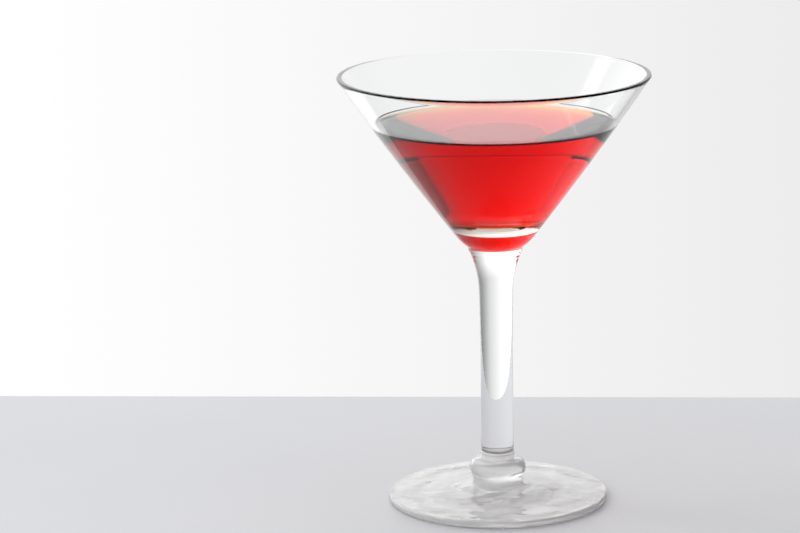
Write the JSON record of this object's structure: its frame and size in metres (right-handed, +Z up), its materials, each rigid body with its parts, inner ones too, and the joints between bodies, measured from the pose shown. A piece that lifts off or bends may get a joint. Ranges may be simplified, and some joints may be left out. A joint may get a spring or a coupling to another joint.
{
  "type": "martini cocktail",
  "caption": "Clear red cocktail in a stemmed glass with a wide cone bowl, a stem with a small rounded button at its foot, and a flat round foot to stand on",
  "frame": {"origin": "centre of the foot's base, on the plane that the glass stands on", "axes": "+Z up along the axis of the glass; the object is round about it, and -Y is the side the viewer sees"},
  "size_m": [0.1074, 0.1074, 0.15],
  "materials": {
    "clear_glass": "polished, clear, colourless",
    "red_drink": "clear deep red liquid"
  },
  "bodies": {
    "root": {"glass": "clear_glass", "drink": "red_drink"}
  },
  "joints": []
}
